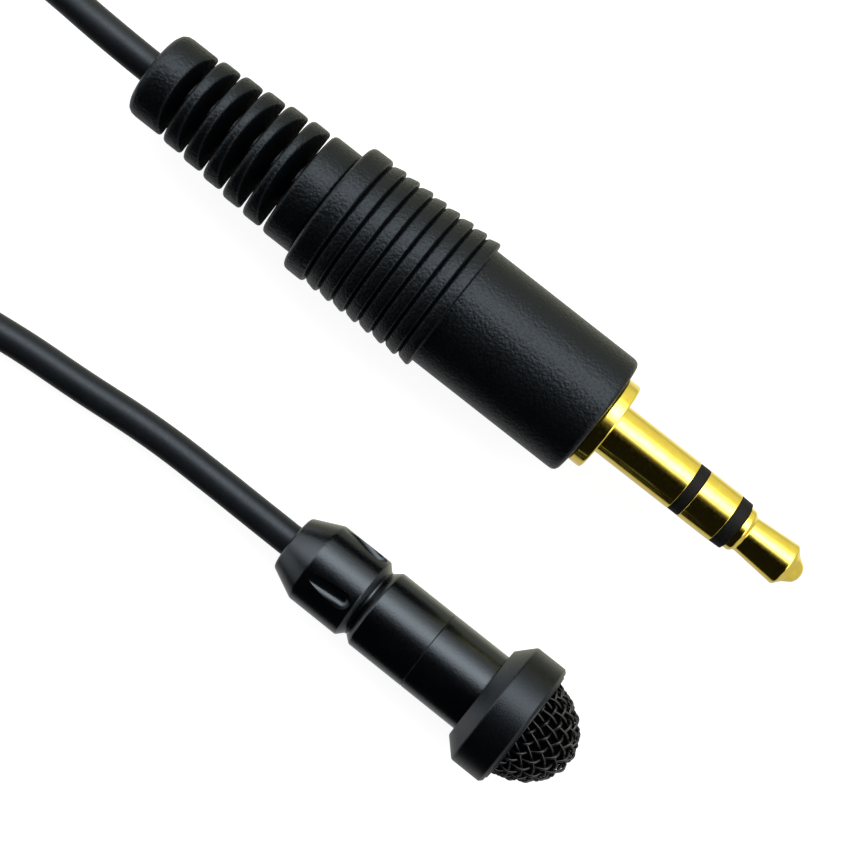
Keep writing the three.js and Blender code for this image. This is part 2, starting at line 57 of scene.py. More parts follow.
# The microphone, measured along its axis from the rear face of the cap.
MIC_RADIUS = 2.79
CAP_RADIUS = 2.85
CAP_BORE = 1.15
GROOVE_AT = 6.15
GROOVE_RADIUS = 2.40
SPIGOT_RADIUS = 1.97
SPIGOT_BORE = 1.45
SEAM_AT = 10.83
SEAM_GAP = 0.03
SLEEVE_FRONT = 15.3
HEAD_REAR = 15.05
HEAD_RADIUS = 4.37
HEAD_FRONT = 18.42
HEAD_BEVEL = 0.2
THREAD_RADIUS = 2.55
THREAD_GAP = 0.05
DOME_SEAT = 17.6
DOME_RADIUS = 3.56
DOME_HEIGHT = 4.4
WIRE_RADIUS = 0.095
WIRE_PITCH = 0.75
WEAVE_ANGLE = -30.0
WEAVE_SHIFT = (0.29, -0.31)  # from the tip to a crossing, in pitches
CRIMP = (0.9, 1.4)  # how far each family of wires waves, in wire radii
HEM = 0.1  # how far the wires run on past the rim, under the lip
POINTS_A_PITCH = 8
WIRE_SIDES = 8

# The grip flutes of the cap, cut with a ball-ended bar. Its ends are given for a flute on top.
FLUTES = 4
FLUTE_TURN = 15.0  # degrees from the top to the first flute
FLUTE_REAR = Vector((2.2, 0, 3.45))
FLUTE_FRONT = Vector((4.85, 0, 2.91))
FLUTE_RADIUS = 0.6

# The plug, measured along its axis from a point BOOT_REAR behind its boot.
BOOT_REAR = 0.5
GAP_CENTRES = [3.32 + 1.656 * i for i in range(6)]
DISC_RADII = [2.99, 3.11, 3.23, 3.37, 3.53, 3.64]
SLOT_WIDTH = 0.22
SLOT_REAR_DRAFT = 0.2
SLOT_FRONT_DRAFT = 0.04
SLOT_CORE = 1.4
NECK_RADIUS = 3.73
NECK_FRONT = 14.0
GRIP_REAR = 14.05
FIRST_RIB = 1.59
RIBS = 8
RIB_PITCH = 1.045
GRIP_REAR_RADIUS = 4.63
GRIP_FRONT_RADIUS = 4.76
COVER_RADIUS = 4.27
COVER_FRONT = 35.2
FLANGE_FRONT = 36.2
FLANGE_RADIUS = 3.1
PIN_RADIUS = 1.75
BAND_RADIUS = 1.73

# The pieces of the pin, measured from the front of its flange. Their tubes nest inside each other.
SLEEVE_END = 5.80
RING_REAR = 6.57
RING_END = 9.05
TIP_REAR = 9.93
PIN_GAP = 0.03
SLEEVE_BORE = 1.34
REAR_BAND_BORE = 1.14
RING_BORE = 0.81
FRONT_BAND_BORE = 0.49

# The coil of cord that is put away.
COIL_CENTRE = Vector((-62.7, 5.0, 0.0))
COIL_RADIUS = 10.8
COIL_COLUMNS = 4
COIL_LAYERS = 4
TURN_SPACING = 2.18
COIL_LIFT = 0.35
POINTS_A_TURN = 24
STEP_OVER = (0.78, 0.97)  # the stretch of a turn in which the cord steps over to its next place
SWING_OUT = (0.0, 0.34)  # the stretch of the last half turn in which it leaves the bundle
COME_DOWN = (0.1, 1.0)  # the stretch of the last half turn in which it comes down to the floor
OUTSIDE_GAP = 0.35
FLOOR_GAP = 0.03

# The strap round the coil.
TIE_WIDTH = 4.0
TIE_THICKNESS = 0.28
TIE_EDGE = 0.06
TIE_ROUNDING = 1.0

# The camera looks straight down, turned so that both halves run from upper left to lower right.
CAMERA_PLACE = Vector((-8.9, 10.91, 138.0))
CAMERA_TURN = 38.1
CAMERA_LENS = 91.3

# Mesh building.
SHARP_ANGLE = 32  # degrees between faces from which an edge stays sharp
LONGEST_FILLET = 0.48  # the part of a side that the rounding of one of its corners may take
TOUCHING = 1e-6  # millimetres within which two places count as one


# ---------------------------------------------------------------- places, from the frame
def joint(name):
    return next(j for j in frame["joints"] if j["name"] == name)


def axis_place(origin, along):
    """Matrix from millimetres in a piece's own frame, whose X runs along the axis, to the row frame."""
    x = Vector(along).normalized()
    y = Vector((0, 1, 0))
    z = x.cross(y).normalized()
    turn = Matrix((x, y, z)).transposed().to_4x4()
    return Matrix.Translation(origin) @ turn @ Matrix.Scale(MM, 4)


MIC_AXIS = Vector(joint("grille_travel")["axis"]).normalized()
MIC_ORIGIN = Vector(joint("gland_turn")["pos_m"]) - GROOVE_AT * MM * MIC_AXIS
MIC = axis_place(MIC_ORIGIN, MIC_AXIS)

plug_low, plug_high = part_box("plug_cover")
boot_low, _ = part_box("strain_relief_boot")
PLUG_MIDDLE = (plug_low + plug_high) / 2
PLUG = axis_place((boot_low.x - BOOT_REAR * MM, PLUG_MIDDLE.y, PLUG_MIDDLE.z), (1, 0, 0))


# ---------------------------------------------------------------- camera
def add_camera():
    data = bpy.data.cameras.new("camera")
    data.sensor_width = 36.0
    data.lens = CAMERA_LENS
    data.clip_start = 0.01
    camera = bpy.data.objects.new("camera", data)
    camera.location = CAMERA_PLACE * MM
    camera.rotation_euler = (0, 0, math.radians(CAMERA_TURN))
    bpy.context.scene.collection.objects.link(camera)
    bpy.context.scene.camera = camera


add_camera()


# ---------------------------------------------------------------- shapes
def link(name, mesh, material, body, nodes=()):
    """Makes a mesh a piece: its finish, the body it rides on, and the CAD nodes it stands for."""
    piece = bpy.data.objects.new(name, mesh)
    bpy.context.scene.collection.objects.link(piece)
    mesh.materials.append(material)
    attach(piece, body)
    if nodes:
        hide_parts(*nodes)
    return piece


def mesh_from(bm, name):
    mesh = bpy.data.meshes.new(name)
    bm.to_mesh(mesh)
    bm.free()
    return mesh


def smoothed(mesh, angle=SHARP_ANGLE):
    mesh.shade_smooth()
    mesh.set_sharp_from_angle(angle=math.radians(angle))
    return mesh


def filleted(points, steps=4):
    """A closed outline with its corners rounded. Each point is (along, radius[, rounding])."""
    count = len(points)
    result = []
    for i, point in enumerate(points):
        corner = Vector(point[:2])
        rounding = point[2] if len(point) > 2 else 0.0
        if not rounding:
            result.append(corner)
            continue
        before = Vector(points[i - 1][:2]) - corner
        after = Vector(points[(i + 1) % count][:2]) - corner
        start = corner + before.normalized() * min(rounding, LONGEST_FILLET * before.length)
        end = corner + after.normalized() * min(rounding, LONGEST_FILLET * after.length)
        for k in range(steps + 1):
            s = k / steps
            result.append(start * (1 - s) ** 2 + corner * 2 * s * (1 - s) + end * s**2)
    return result


def bridge(bm, one, two):
    """Joins two rings of corners with faces, which are triangles where a ring is a single point."""
    count = len(one)
    for k in range(count):
        corners = [one[k], one[(k + 1) % count], two[(k + 1) % count], two[k]]
        distinct = list(dict.fromkeys(corners))
        if len(distinct) > 2:
            bm.faces.new(distinct)


def lathe_mesh(name, outline, place, segments=128, shaped=None):
    """A solid turned about X from an outline. shaped(row, angle, along, radius) can move each point."""
    bm = bmesh.new()
    rings = []
    for i, (along, radius) in enumerate(outline):
        if radius < TOUCHING:
            rings.append([bm.verts.new(place @ Vector((along, 0, 0)))] * segments)
            continue
        ring = []
        for k in range(segments):
            angle = 2 * math.pi * k / segments
            x, r = shaped(i, angle, along, radius) if shaped else (along, radius)
            ring.append(bm.verts.new(place @ Vector((x, r * math.sin(angle), r * math.cos(angle)))))
        rings.append(ring)
    ends_on_axis = outline[0][1] < TOUCHING and outline[-1][1] < TOUCHING
    for i in range(len(rings) - (1 if ends_on_axis else 0)):
        bridge(bm, rings[i], rings[(i + 1) % len(rings)])
    bmesh.ops.recalc_face_normals(bm, faces=bm.faces)
    return smoothed(mesh_from(bm, name))


def turned(name, points, place, material, body, nodes=(), segments=128):
    mesh = lathe_mesh(name, filleted(points), place, segments)
    return link(name, mesh, material, body, nodes)


def add_tube(bm, path, radius, sides, side_hint):
    """Adds a closed tube along a list of points."""
    rings = []
    last = len(path) - 1
    side = side_hint
    turns = [2 * math.pi * k / sides for k in range(sides)]
    for i, point in enumerate(path):
        ahead = (path[min(i + 1, last)] - path[max(i - 1, 0)]).normalized()
        side = (side - ahead * side.dot(ahead)).normalized()
        up = ahead.cross(side)
        spokes = [radius * (math.cos(t) * side + math.sin(t) * up) for t in turns]
        rings.append([bm.verts.new(point + spoke) for spoke in spokes])
    for one, two in zip(rings, rings[1:]):
        bridge(bm, one, two)
    bm.faces.new(list(reversed(rings[0])))
    bm.faces.new(rings[-1])


# ---------------------------------------------------------------- materials
BLUE_SHEEN = (0.78, 0.9, 1.0)
USUAL_NOISE = (0.3, 0.7)  # the range that most noise values fall in


def shader(name, color, roughness, metallic=0.0, specular=0.5, specular_tint=(1, 1, 1)):
    material = bpy.data.materials.new(name)
    material.use_nodes = True
    bsdf = material.node_tree.nodes["Principled BSDF"]
    bsdf.inputs["Base Color"].default_value = (*color, 1)
    bsdf.inputs["Roughness"].default_value = roughness
    bsdf.inputs["Metallic"].default_value = metallic
    bsdf.inputs["Specular IOR Level"].default_value = specular
    bsdf.inputs["Specular Tint"].default_value = (*specular_tint, 1)
    return material, material.node_tree, bsdf


def noise(tree, scale, detail=3.0, stretch=(1, 1, 1)):
    """Noise of that many lumps a metre in the piece's own frame."""
    coordinates = tree.nodes.new("ShaderNodeTexCoord")
    mapping = tree.nodes.new("ShaderNodeMapping")
    mapping.inputs["Scale"].default_value = stretch
    texture = tree.nodes.new("ShaderNodeTexNoise")
    texture.inputs["Scale"].default_value = scale
    texture.inputs["Detail"].default_value = detail
    tree.links.new(coordinates.outputs["Object"], mapping.inputs["Vector"])
    tree.links.new(mapping.outputs["Vector"], texture.inputs["Vector"])
    return texture.outputs["Fac"]


def map_range(tree, value, source, target=(0, 1)):
    """A value carried from one range to another, and held inside it."""
    node = tree.nodes.new("ShaderNodeMapRange")
    node.inputs["From Min"].default_value, node.inputs["From Max"].default_value = source
    node.inputs["To Min"].default_value, node.inputs["To Max"].default_value = target
    tree.links.new(value, node.inputs["Value"])
    return node.outputs["Result"]


def calculate(tree, operation, *values):
    node = tree.nodes.new("ShaderNodeMath")
    node.operation = operation
    for value, socket in zip(values, node.inputs):
        tree.links.new(value, socket)
    return node.outputs["Value"]


def tint(tree, bsdf, value, dark, light):
    """Base colour that wanders between two tones with a noise value."""
    mix = tree.nodes.new("ShaderNodeMix")
    mix.data_type = "RGBA"
    mix.inputs["A"].default_value = (*dark, 1)
    mix.inputs["B"].default_value = (*light, 1)
    tree.links.new(map_range(tree, value, USUAL_NOISE), mix.inputs["Factor"])
    tree.links.new(mix.outputs["Result"], bsdf.inputs["Base Color"])


def roughen(tree, bsdf, value, smoothest, roughest):
    """Roughness that wanders between two levels with a noise value."""
    tree.links.new(map_range(tree, value, USUAL_NOISE, (smoothest, roughest)), bsdf.inputs["Roughness"])


def bump(tree, bsdf, height, depth, strength=1.0):
    node = tree.nodes.new("ShaderNodeBump")
    node.inputs["Strength"].default_value = strength
    node.inputs["Distance"].default_value = depth
    tree.links.new(height, node.inputs["Height"])
    tree.links.new(node.outputs["Normal"], bsdf.inputs["Normal"])


def anodised_black(name, smoothest, roughest, specular):
    """Black anodising over finely blasted aluminium."""
    base = (0.0006, 0.0007, 0.001)
    material, tree, bsdf = shader(name, base, smoothest, specular=specular, specular_tint=BLUE_SHEEN)
    patches = noise(tree, 900, 4)
    tint(tree, bsdf, patches, dark=(0.0003, 0.0004, 0.0007), light=(0.0008, 0.001, 0.0015))
    fine = noise(tree, 9000, 3)
    roughen(tree, bsdf, fine, smoothest, roughest)
    bump(tree, bsdf, fine, depth=0.000016, strength=0.6)
    return material


def moulded_black():
    """Soft moulded plastic with a fine pebbled skin."""
    base = (0.0006, 0.0009, 0.0013)
    material, tree, bsdf = shader("moulded_black", base, 0.39, specular=0.26, specular_tint=BLUE_SHEEN)
    patches = noise(tree, 600, 4)
    tint(tree, bsdf, patches, dark=(0.0003, 0.0005, 0.0008), light=(0.0009, 0.0012, 0.0017))
    pebbles = tree.nodes.new("ShaderNodeTexVoronoi")
    pebbles.feature = "SMOOTH_F1"
    pebbles.inputs["Scale"].default_value = 4800
    pebbles.inputs["Smoothness"].default_value = 0.7
    coordinates = tree.nodes.new("ShaderNodeTexCoord")
    tree.links.new(coordinates.outputs["Object"], pebbles.inputs["Vector"])
    grain = noise(tree, 7000, 4)
    roughen(tree, bsdf, grain, 0.32, 0.46)
    height = calculate(tree, "SUBTRACT", grain, pebbles.outputs["Distance"])
    bump(tree, bsdf, height, depth=0.00005, strength=0.5)
    return material


def cord_black():
    """Smooth cable jacket, slightly uneven."""
    base = (0.003, 0.0035, 0.0045)
    material, tree, bsdf = shader("cord_black", base, 0.42, specular=0.34, specular_tint=BLUE_SHEEN)
    patches = noise(tree, 500, 3)
    tint(tree, bsdf, patches, dark=(0.002, 0.0025, 0.0032), light=(0.004, 0.0046, 0.006))
    fine = noise(tree, 7000, 3)
    roughen(tree, bsdf, fine, 0.36, 0.5)
    bump(tree, bsdf, fine, depth=0.00001, strength=0.4)
    return material


def gold_plate():
    """Polished gold plating with the turned pin's faint rings under it."""
    material, tree, bsdf = shader("gold_plate", (1.0, 0.75, 0.12), 0.1, metallic=1.0)
    tint(tree, bsdf, noise(tree, 1800, 5), dark=(0.95, 0.69, 0.095), light=(1.0, 0.8, 0.145))
    roughen(tree, bsdf, noise(tree, 5000, 4), 0.06, 0.17)
    rings = noise(tree, 9000, 2, stretch=(1, 0.03, 0.03))
    bump(tree, bsdf, rings, depth=0.000003, strength=0.4)
    return material


def wire_black():
    """Blackened steel wire."""
    material, tree, bsdf = shader("mesh_black", (0.0014, 0.0014, 0.0018), 0.32, specular=0.34)
    patches = noise(tree, 4000, 3)
    tint(tree, bsdf, patches, dark=(0.0006, 0.0006, 0.0009), light=(0.0022, 0.0022, 0.0028))
    roughen(tree, bsdf, patches, 0.26, 0.4)
    return material


def foam_black():
    """Open-celled foam, which reflects next to nothing."""
    material, tree, bsdf = shader("foam_black", (0.0006, 0.0006, 0.0006), 1.0, specular=0.02)
    cells = noise(tree, 6000, 4)
    tint(tree, bsdf, cells, dark=(0.0002, 0.0002, 0.0002), light=(0.0012, 0.0012, 0.0012))
    bump(tree, bsdf, cells, depth=0.0002)
    return material


def plain(name, dark, light, roughness, metallic=0.0, depth=0.000008, specular=0.5):
    """A finish with slight mottling and a fine grain, for the smaller pieces."""
    material, tree, bsdf = shader(name, light, roughness, metallic, specular)
    fine = noise(tree, 5000, 3)
    tint(tree, bsdf, fine, dark, light)
    roughen(tree, bsdf, fine, roughness - 0.06, roughness + 0.06)
    bump(tree, bsdf, fine, depth, strength=0.5)
    return material


ANODISED = anodised_black("anodised_black", 0.16, 0.27, 0.5)
ANODISED_MATT = anodised_black("anodised_black_matt", 0.3, 0.4, 0.32)
MOULDED = moulded_black()
CORD = cord_black()
GOLD = gold_plate()
WIRE = wire_black()
FOAM = foam_black()
INSULATOR = plain("insulator_black", (0.003, 0.003, 0.003), (0.006, 0.006, 0.0055), 0.6, specular=0.1)
RUBBER = plain("rubber_black", (0.012, 0.012, 0.012), (0.022, 0.022, 0.022), 0.75, depth=0.00003)
BRASS = plain("plain_brass", (0.60, 0.42, 0.17), (0.76, 0.57, 0.28), 0.3, 1.0)
NYLON = plain("nylon_white", (0.70, 0.67, 0.60), (0.80, 0.77, 0.70), 0.45)
SILVER = plain("silver_can", (0.66, 0.67, 0.69), (0.80, 0.81, 0.83), 0.28, 1.0)
BOARD = plain("board_green", (0.012, 0.12, 0.05), (0.03, 0.19, 0.09), 0.4)
FILM = plain("silver_film", (0.62, 0.63, 0.66), (0.74, 0.75, 0.78), 0.2, 0.9)
FELT = plain("felt_black", (0.015, 0.015, 0.015), (0.04, 0.04, 0.04), 0.93, depth=0.00005)
RED = plain("wire_red", (0.32, 0.015, 0.015), (0.45, 0.03, 0.03), 0.4)
WHITE = plain("wire_white", (0.68, 0.66, 0.61), (0.78, 0.76, 0.71), 0.4)
COPPER = plain("bare_copper", (0.62, 0.30, 0.16), (0.80, 0.45, 0.27), 0.35, 1.0)


# ---------------------------------------------------------------- cord
# From the rear of the microphone, along the floor, to where the coil begins.
MIC_ROUTE = [
    (-17.0, 0.0, 1.9),
    (-22.0, -0.1, 1.38),
    (-27.5, -0.57, 1.12),
    (-33.3, -1.04, 1.09),
    (-39.0, -1.95, 1.1),
    (-45.0, -4.1, 1.18),
    (-51.6, -7.3, 1.35),
]
# From the coil to the rear of the plug, up off the floor into the strain relief.
PLUG_ROUTE = [
    (-56.5, 21.2, 1.1),
    (-50.5, 19.45, 1.5),
    (-46.0, 18.42, 2.65),
    (-42.1, 18.1, 3.9),
    (-39.0, 17.93, 4.6),
]


def smoothstep(value, low, high):
    s = min(1.0, max(0.0, (value - low) / (high - low)))
    return s * s * (3 - 2 * s)


def coil_place(turns, radius, height):
    """A point that many turns along the coil, which starts on the -Y side and runs clockwise from above."""
    angle = -math.pi / 2 - 2 * math.pi * turns
    return COIL_CENTRE + Vector((radius * math.cos(angle), radius * math.sin(angle), height))


def coil_cell(turn, outer, floor):
    """Radius and height of a turn: each layer is wound across the bundle, and the next one back."""
    layer, column = divmod(turn, COIL_COLUMNS)
    if layer % 2:
        column = COIL_COLUMNS - 1 - column
    return outer - column * TURN_SPACING, floor + layer * TURN_SPACING


def coil_points():
    """The neat turns from the floor up, then half a turn down the outside of the bundle."""
    outer = COIL_RADIUS + (COIL_COLUMNS - 1) / 2 * TURN_SPACING
    floor = COIL_LIFT + CORD_RADIUS
    cells = [coil_cell(turn, outer, floor) for turn in range(COIL_COLUMNS * COIL_LAYERS)]
    points = []
    for turn, ((radius, height), following) in enumerate(zip(cells, cells[1:] + cells[-1:])):
        for k in range(POINTS_A_TURN):
            part = k / POINTS_A_TURN
            moved = smoothstep(part, *STEP_OVER)
            stepped_radius = radius + (following[0] - radius) * moved
            stepped_height = height + (following[1] - height) * moved
            points.append(coil_place(turn + part, stepped_radius, stepped_height))
    top = floor + (COIL_LAYERS - 1) * TURN_SPACING
    steps = POINTS_A_TURN // 2
    for k in range(steps + 1):
        part = k / steps
        radius = outer + (TURN_SPACING + OUTSIDE_GAP) * smoothstep(part, *SWING_OUT)
        height = top + (CORD_RADIUS + FLOOR_GAP - top) * smoothstep(part, *COME_DOWN)
        points.append(coil_place(len(cells) + part / 2, radius, height))
    return points


def cord_route():
    """The whole cord, from inside the microphone to inside the plug, in metres."""
    in_mic = [MIC @ Vector((along, 0, 0)) / MM for along in (5, 2, -1, -4)]
    in_plug = [PLUG @ Vector((along, 0, 0)) / MM for along in (BOOT_REAR, 8, 16, 22.6)]
    to_coil = [Vector(point) for point in MIC_ROUTE]
    from_coil = [Vector(point) for point in PLUG_ROUTE]
    return [point * MM for point in in_mic + to_coil + coil_points() + from_coil + in_plug]


def add_cord():
    points = cord_route()
    curve = bpy.data.curves.new("cord", "CURVE")
    curve.dimensions = "3D"
    curve.bevel_depth = CORD_RADIUS * MM
    curve.bevel_resolution = 6
    curve.resolution_u = 6
    curve.use_fill_caps = True
    spline = curve.splines.new("BEZIER")
    spline.bezier_points.add(len(points) - 1)
    for knot, point in zip(spline.bezier_points, points):
        knot.co = point
        knot.handle_left_type = "AUTO"
        knot.handle_right_type = "AUTO"
    curve.materials.append(CORD)
    cord = bpy.data.objects.new("cord", curve)
    bpy.context.scene.collection.objects.link(cord)
    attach(cord, "mic_body")
    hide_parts("cord_mic_run", "cord_coil", "cord_plug_run")
    return cord


cord = add_cord()


def tie_outline():
    """The strap's inner line round the bundle, as (centre of the rounded corner, direction outward)."""
    half = (COIL_COLUMNS - 1) / 2 * TURN_SPACING + CORD_RADIUS
    inner_gap, base_gap, gap = 0.12, 0.02, 0.03
    inner = COIL_RADIUS - half - inner_gap + TIE_ROUNDING
    outer = COIL_RADIUS + half + gap - TIE_ROUNDING
    base = COIL_LIFT - base_gap + TIE_ROUNDING
    crest = COIL_LIFT + 2 * half + gap - TIE_ROUNDING
    steps = 8
    path = []
    for x, z, start in ((outer, crest, 0), (inner, crest, 90), (inner, base, 180), (outer, base, 270)):
        for k in range(steps + 1):
            angle = math.radians(start + 90 * k / steps)
            path.append((Vector((x, z)), Vector((math.cos(angle), math.sin(angle)))))
    return path


def add_coil_tie():
    """A strap with bevelled edges, pulled snug round the bundle."""
    side = TIE_WIDTH / 2
    flat = side - TIE_EDGE
    shoulder = TIE_THICKNESS - TIE_EDGE
    section = [
        (0, -flat), (0, flat), (TIE_EDGE, side), (shoulder, side), (TIE_THICKNESS, flat),
        (TIE_THICKNESS, -flat), (shoulder, -side), (TIE_EDGE, -side),
    ]
    bm = bmesh.new()
    rings = []
    for centre, outward in tie_outline():
        ring = []
        for out, across in section:
            spot = centre + outward * (TIE_ROUNDING + out)
            ring.append(bm.verts.new((COIL_CENTRE + Vector((spot.x, across, spot.y))) * MM))
        rings.append(ring)
    for one, two in zip(rings, rings[1:] + rings[:1]):
        bridge(bm, one, two)
    bmesh.ops.recalc_face_normals(bm, faces=bm.faces)
    mesh = smoothed(mesh_from(bm, "coil_tie_strap"))
    return link("coil_tie_strap", mesh, RUBBER, "mic_body", ["coil_tie"])


# ---------------------------------------------------------------- microphone
def add_rear_cap():
    """The gland nut: a cone and a barrel over the spigot, with grip flutes."""
    socket_radius = SPIGOT_RADIUS + THREAD_GAP
    socket_end = 1.2
    outline = [
        (0, CAP_BORE, 0.08), (0, 1.92, 0.16), (1.97, CAP_RADIUS, 0.12), (5.62, CAP_RADIUS, 0.08),
        (6.04, GROOVE_RADIUS, 0.03), (GROOVE_AT, GROOVE_RADIUS, 0.03), (GROOVE_AT, socket_radius),
        (socket_end, socket_radius), (socket_end, CAP_BORE),
    ]
    cap = turned("gland_nut", outline, MIC, ANODISED, "gland_nut", ["rear_cap"], 192)
    cut_flutes(cap)


def cut_flutes(cap):
    """Cuts the flutes with a ball-ended bar that slopes in towards the front."""
    length = (FLUTE_FRONT - FLUTE_REAR).length
    quarter = [math.radians(a) for a in range(0, 91, 6)]
    outline = [(-FLUTE_RADIUS * math.cos(a), FLUTE_RADIUS * math.sin(a)) for a in quarter]
    outline += [(length + FLUTE_RADIUS * math.sin(a), FLUTE_RADIUS * math.cos(a)) for a in quarter]
    slope = math.atan2(FLUTE_REAR.z - FLUTE_FRONT.z, FLUTE_FRONT.x - FLUTE_REAR.x)
    bar = Matrix.Translation(FLUTE_REAR) @ Matrix.Rotation(slope, 4, "Y")
    cutters = []
    for k in range(FLUTES):
        round_axis = Matrix.Rotation(math.radians(FLUTE_TURN + 360 / FLUTES * k), 4, "X")
        cutter = bpy.data.objects.new("cutter", lathe_mesh("cutter", outline, MIC @ round_axis @ bar, 64))
        bpy.context.scene.collection.objects.link(cutter)
        modifier = cap.modifiers.new("flute", "BOOLEAN")
        modifier.operation = "DIFFERENCE"
        modifier.solver = "EXACT"
        modifier.object = cutter
        cutters.append(cutter)
    apply_modifiers(cap)
    for cutter in cutters:
        bpy.data.objects.remove(cutter)
    cap.data.set_sharp_from_angle(angle=math.radians(SHARP_ANGLE))


def apply_modifiers(piece):
    bpy.context.view_layer.update()
    evaluated = piece.evaluated_get(bpy.context.evaluated_depsgraph_get())
    mesh = bpy.data.meshes.new_from_object(evaluated)
    piece.modifiers.clear()
    piece.data = mesh


def add_sleeves():
    """The two halves of the body tube, which meet at the seam. The front one slides into the rear one."""
    seam_rear = SEAM_AT - SEAM_GAP
    chamber_radius, chamber_rear = 2.35, 7.2
    rear = [
        (3.6, SPIGOT_BORE), (3.6, SPIGOT_RADIUS, 0.1), (6.2, SPIGOT_RADIUS), (6.2, GROOVE_RADIUS, 0.04),
        (6.68, MIC_RADIUS, 0.08), (seam_rear, MIC_RADIUS, 0.04), (seam_rear, chamber_radius),
        (chamber_rear, chamber_radius), (chamber_rear, SPIGOT_BORE),
    ]
    tenon_radius, tenon_bore, tenon_rear = 2.32, 1.7, 9.2
    seat_radius, seat_rear, thread_front = 2.15, 13.8, 16.9
    front = [
        (tenon_rear, tenon_bore), (tenon_rear, tenon_radius), (SEAM_AT, tenon_radius),
        (SEAM_AT, MIC_RADIUS, 0.04), (SLEEVE_FRONT, MIC_RADIUS, 0.06), (SLEEVE_FRONT, THREAD_RADIUS),
        (thread_front, THREAD_RADIUS, 0.1), (thread_front, seat_radius), (seat_rear, seat_radius),
        (seat_rear, tenon_bore),
    ]
    for name, outline, node in (
        ("sleeve_rear_half", rear, "rear_sleeve"),
        ("sleeve_front_half", front, "front_sleeve"),
    ):
        turned(name, outline, MIC, ANODISED, "mic_body", [node], 160)


def add_head():
    """The chamfered collar with its lip, and the grille and foam that they hold."""
    skirt_radius, skirt_front = 2.84, 15.35
    thread_bore = THREAD_RADIUS + THREAD_GAP
    window, shelf_rear, shelf_front = 2.1, 17.17, 17.5
    lip_seat = 3.98
    collar = [
        (HEAD_REAR, skirt_radius), (HEAD_REAR, 3.27, 0.08), (16.1, HEAD_RADIUS, 0.12),
        (HEAD_FRONT - HEAD_BEVEL, HEAD_RADIUS, 0.05), (HEAD_FRONT, HEAD_RADIUS - HEAD_BEVEL, 0.05),
        (HEAD_FRONT, lip_seat, 0.04), (shelf_front, lip_seat), (shelf_front, window), (shelf_rear, window),
        (shelf_rear, thread_bore), (skirt_front, thread_bore), (skirt_front, skirt_radius),
    ]
    lip_rear, lip_front = 17.88, 18.52
    lip = [(lip_rear, 3.74), (lip_rear, 3.92), (lip_front, 3.92, 0.1), (lip_front, 3.73, 0.06)]
    for name, outline, node in (
        ("collar", collar, "head_ring"),
        ("grille_lip", lip, "mesh_retaining_ring"),
    ):
        turned(name, outline, MIC, ANODISED_MATT, "grille_head", [node], 192)
    add_weave()
    add_foam()


def meridian(steps=240):
    """The middle line of the dome's wires from tip to rim, as (length from the tip, place, outward)."""
    height = DOME_HEIGHT - 2 * WIRE_RADIUS
    radius = DOME_RADIUS - 2 * WIRE_RADIUS
    rows = []
    length = 0.0
    for k in range(steps + 1):
        angle = math.pi / 2 * k / steps
        spot = Vector((DOME_SEAT + height * math.cos(angle), radius * math.sin(angle)))
        outward = Vector((math.cos(angle) / height, math.sin(angle) / radius)).normalized()
        if rows:
            length += (spot - rows[-1][1]).length
        rows.append((length, spot, outward))
    return rows


MERIDIAN = meridian()
LENGTHS = [length for length, _, _ in MERIDIAN]
RIM = LENGTHS[-1]


def on_dome(u, v, lift):
    """A point of the formed wire cloth. u and v are places on the flat cloth before forming."""
    reach = max(math.hypot(u, v), TOUCHING)
    if reach < RIM:
        row = bisect(LENGTHS, reach)
        length, spot, outward = MERIDIAN[row - 1]
        next_length, next_spot, next_outward = MERIDIAN[row]
        part = (reach - length) / (next_length - length)
        spot = spot.lerp(next_spot, part)
        outward = outward.lerp(next_outward, part)
    else:
        _, spot, outward = MERIDIAN[-1]
        spot = spot - Vector((reach - RIM, 0))
    spot = spot + outward * lift
    return Vector((spot.x, spot.y * u / reach, spot.y * v / reach))


def wire_path(family, wire, half):
    """The middle line of one wire of the cloth, which waves over and under the other family."""
    turn = math.radians(WEAVE_ANGLE)
    across = (wire + WEAVE_SHIFT[family]) * WIRE_PITCH
    steps = max(POINTS_A_PITCH, int(2 * half / (WIRE_PITCH / POINTS_A_PITCH)))
    path = []
    for k in range(steps + 1):
        along = -half + 2 * half * k / steps
        crossing = along / WIRE_PITCH - WEAVE_SHIFT[1 - family]
        lift = CRIMP[family] * WIRE_RADIUS * math.cos(math.pi * (crossing + wire + family))
        u, v = (along, across) if family else (across, along)
        turned_u = u * math.cos(turn) - v * math.sin(turn)
        turned_v = u * math.sin(turn) + v * math.cos(turn)
        path.append(MIC @ on_dome(turned_u, turned_v, lift))
    return path


def add_weave():
    """Plain-woven wire cloth pressed to a dome: every wire is modelled, over and under."""
    bm = bmesh.new()
    edge = RIM + HEM  # the cloth's radius while flat
    count = int(edge / WIRE_PITCH)
    side_hint = MIC_AXIS + Vector((0, 0.013, 0.007))  # a direction that no wire runs along
    for family in (0, 1):
        for wire in range(-count, count + 1):
            across = (wire + WEAVE_SHIFT[family]) * WIRE_PITCH
            if abs(across) > RIM:
                continue
            half = math.sqrt(edge**2 - across**2)
            add_tube(bm, wire_path(family, wire, half), WIRE_RADIUS * MM, WIRE_SIDES, side_hint)
    mesh = smoothed(mesh_from(bm, "wire_dome"), 60)
    link("wire_dome", mesh, WIRE, "grille_head", ["mesh_dome"])


